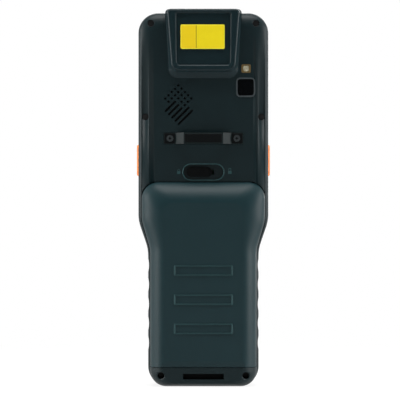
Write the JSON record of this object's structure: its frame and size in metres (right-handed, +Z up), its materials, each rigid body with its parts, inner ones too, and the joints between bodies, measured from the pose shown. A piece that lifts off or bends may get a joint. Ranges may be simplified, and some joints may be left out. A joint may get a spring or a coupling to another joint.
{
  "type": "portable barcode data terminal",
  "caption": "Upright handheld scanner terminal with a waisted body, hinged battery cover, slide lock, scanner hood, strap bracket, side buttons, keypad and display.",
  "frame": {"origin": "centre of the box around the terminal, at its bottom end", "axes": "+Z up along the body, +X to the right seen from the back, back and battery cover face -Y, display and keys face +Y"},
  "size_m": [0.0728, 0.034, 0.205],
  "materials": {
    "housing": "fine textured moulding, blue black",
    "cover": "fine textured moulding, blue grey",
    "hood": "satin moulding",
    "yellow_plate": "printed yellow film",
    "bracket": "satin black",
    "slider": "satin black",
    "orange": "satin orange",
    "key_plastic": "satin dark grey",
    "rubber": "matte black",
    "dark_glass": "polished black",
    "screen": "dark display",
    "black_plastic": "plain black",
    "bezel": "satin dark grey",
    "flash_trim": "olive brown",
    "flash": "milky lens",
    "mesh": "black woven mesh",
    "screw_steel": "black steel",
    "frame_metal": "cast light alloy",
    "board": "green laminate",
    "contacts": "gold plated",
    "battery": "dark grey case"
  },
  "bodies": {
    "housing": {"rear_housing": "housing", "front_housing": "housing", "scanner_hood": "hood", "hood_plate": "yellow_plate", "strap_bracket": "bracket", "housing_seal": "rubber", "keypad_mat": "rubber", "display_glass": "dark_glass", "scan_window": "dark_glass", "camera_window": "dark_glass", "display_module": "screen", "camera_module": "black_plastic", "speaker": "black_plastic", "side_switches": "black_plastic", "scan_engine": "black_plastic", "camera_bezel": "bezel", "flash_bezel": "flash_trim", "flash_lens": "flash", "speaker_mesh": "mesh", "earpiece_mesh": "mesh", "case_screws": "screw_steel", "strap_screws": "screw_steel", "inner_frame": "frame_metal", "main_board": "board", "keypad_board": "board", "battery_contacts": "contacts", "dock_contacts": "contacts", "battery_pack": "battery"},
    "cover": {"battery_cover": "cover", "cover_seal": "rubber"},
    "lock": {"lock_slider": "slider"},
    "left_button": {"left_trigger": "orange"},
    "right_button": {"right_trigger": "orange"},
    "key_dot_body": {"key_dot": "key_plastic"},
    "key_0_body": {"key_0": "key_plastic"},
    "key_hash_body": {"key_hash": "key_plastic"},
    "key_enter_body": {"key_enter": "key_plastic"},
    "key_7_body": {"key_7": "key_plastic"},
    "key_8_body": {"key_8": "key_plastic"},
    "key_9_body": {"key_9": "key_plastic"},
    "key_shift_body": {"key_shift": "key_plastic"},
    "key_4_body": {"key_4": "key_plastic"},
    "key_5_body": {"key_5": "key_plastic"},
    "key_6_body": {"key_6": "key_plastic"},
    "key_tab_body": {"key_tab": "key_plastic"},
    "key_1_body": {"key_1": "key_plastic"},
    "key_2_body": {"key_2": "key_plastic"},
    "key_3_body": {"key_3": "key_plastic"},
    "key_clear_body": {"key_clear": "key_plastic"},
    "key_left_body": {"key_left": "key_plastic"},
    "key_down_body": {"key_down": "key_plastic"},
    "key_right_body": {"key_right": "key_plastic"},
    "key_function_body": {"key_function": "key_plastic"},
    "key_menu_body": {"key_menu": "key_plastic"},
    "key_up_body": {"key_up": "key_plastic"},
    "key_back_body": {"key_back": "key_plastic"},
    "key_power_body": {"key_power": "key_plastic"},
    "key_soft_left_body": {"key_soft_left": "key_plastic"},
    "key_scan_body": {"key_scan": "orange"},
    "key_soft_right_body": {"key_soft_right": "key_plastic"}
  },
  "joints": [
    {"name": "cover_hinge", "type": "hinge", "parent": "housing", "child": "cover", "pos_m": [0, -0.016, 0.0107], "axis": [1, 0, 0], "range_deg": [0, 60]},
    {"name": "lock_slide", "type": "slide", "parent": "housing", "child": "lock", "axis": [1, 0, 0], "range_m": [0, 0.0061]},
    {"name": "left_press", "type": "slide", "parent": "housing", "child": "left_button", "axis": [1, 0, 0], "range_m": [0, 0.0007], "stiffness_N_per_m": 1000},
    {"name": "right_press", "type": "slide", "parent": "housing", "child": "right_button", "axis": [-1, 0, 0], "range_m": [0, 0.0007], "stiffness_N_per_m": 1000},
    {"name": "key_dot_press", "type": "slide", "parent": "housing", "child": "key_dot_body", "axis": [0, -1, 0], "range_m": [0, 0.0006], "stiffness_N_per_m": 600},
    {"name": "key_0_press", "type": "slide", "parent": "housing", "child": "key_0_body", "axis": [0, -1, 0], "range_m": [0, 0.0006], "stiffness_N_per_m": 600},
    {"name": "key_hash_press", "type": "slide", "parent": "housing", "child": "key_hash_body", "axis": [0, -1, 0], "range_m": [0, 0.0006], "stiffness_N_per_m": 600},
    {"name": "key_enter_press", "type": "slide", "parent": "housing", "child": "key_enter_body", "axis": [0, -1, 0], "range_m": [0, 0.0006], "stiffness_N_per_m": 600},
    {"name": "key_7_press", "type": "slide", "parent": "housing", "child": "key_7_body", "axis": [0, -1, 0], "range_m": [0, 0.0006], "stiffness_N_per_m": 600},
    {"name": "key_8_press", "type": "slide", "parent": "housing", "child": "key_8_body", "axis": [0, -1, 0], "range_m": [0, 0.0006], "stiffness_N_per_m": 600},
    {"name": "key_9_press", "type": "slide", "parent": "housing", "child": "key_9_body", "axis": [0, -1, 0], "range_m": [0, 0.0006], "stiffness_N_per_m": 600},
    {"name": "key_shift_press", "type": "slide", "parent": "housing", "child": "key_shift_body", "axis": [0, -1, 0], "range_m": [0, 0.0006], "stiffness_N_per_m": 600},
    {"name": "key_4_press", "type": "slide", "parent": "housing", "child": "key_4_body", "axis": [0, -1, 0], "range_m": [0, 0.0006], "stiffness_N_per_m": 600},
    {"name": "key_5_press", "type": "slide", "parent": "housing", "child": "key_5_body", "axis": [0, -1, 0], "range_m": [0, 0.0006], "stiffness_N_per_m": 600},
    {"name": "key_6_press", "type": "slide", "parent": "housing", "child": "key_6_body", "axis": [0, -1, 0], "range_m": [0, 0.0006], "stiffness_N_per_m": 600},
    {"name": "key_tab_press", "type": "slide", "parent": "housing", "child": "key_tab_body", "axis": [0, -1, 0], "range_m": [0, 0.0006], "stiffness_N_per_m": 600},
    {"name": "key_1_press", "type": "slide", "parent": "housing", "child": "key_1_body", "axis": [0, -1, 0], "range_m": [0, 0.0006], "stiffness_N_per_m": 600},
    {"name": "key_2_press", "type": "slide", "parent": "housing", "child": "key_2_body", "axis": [0, -1, 0], "range_m": [0, 0.0006], "stiffness_N_per_m": 600},
    {"name": "key_3_press", "type": "slide", "parent": "housing", "child": "key_3_body", "axis": [0, -1, 0], "range_m": [0, 0.0006], "stiffness_N_per_m": 600},
    {"name": "key_clear_press", "type": "slide", "parent": "housing", "child": "key_clear_body", "axis": [0, -1, 0], "range_m": [0, 0.0006], "stiffness_N_per_m": 600},
    {"name": "key_left_press", "type": "slide", "parent": "housing", "child": "key_left_body", "axis": [0, -1, 0], "range_m": [0, 0.0006], "stiffness_N_per_m": 600},
    {"name": "key_down_press", "type": "slide", "parent": "housing", "child": "key_down_body", "axis": [0, -1, 0], "range_m": [0, 0.0006], "stiffness_N_per_m": 600},
    {"name": "key_right_press", "type": "slide", "parent": "housing", "child": "key_right_body", "axis": [0, -1, 0], "range_m": [0, 0.0006], "stiffness_N_per_m": 600},
    {"name": "key_function_press", "type": "slide", "parent": "housing", "child": "key_function_body", "axis": [0, -1, 0], "range_m": [0, 0.0006], "stiffness_N_per_m": 600},
    {"name": "key_menu_press", "type": "slide", "parent": "housing", "child": "key_menu_body", "axis": [0, -1, 0], "range_m": [0, 0.0006], "stiffness_N_per_m": 600},
    {"name": "key_up_press", "type": "slide", "parent": "housing", "child": "key_up_body", "axis": [0, -1, 0], "range_m": [0, 0.0006], "stiffness_N_per_m": 600},
    {"name": "key_back_press", "type": "slide", "parent": "housing", "child": "key_back_body", "axis": [0, -1, 0], "range_m": [0, 0.0006], "stiffness_N_per_m": 600},
    {"name": "key_power_press", "type": "slide", "parent": "housing", "child": "key_power_body", "axis": [0, -1, 0], "range_m": [0, 0.0006], "stiffness_N_per_m": 600},
    {"name": "key_soft_left_press", "type": "slide", "parent": "housing", "child": "key_soft_left_body", "axis": [0, -1, 0], "range_m": [0, 0.0006], "stiffness_N_per_m": 600},
    {"name": "key_scan_press", "type": "slide", "parent": "housing", "child": "key_scan_body", "axis": [0, -1, 0], "range_m": [0, 0.0006], "stiffness_N_per_m": 600},
    {"name": "key_soft_right_press", "type": "slide", "parent": "housing", "child": "key_soft_right_body", "axis": [0, -1, 0], "range_m": [0, 0.0006], "stiffness_N_per_m": 600}
  ]
}
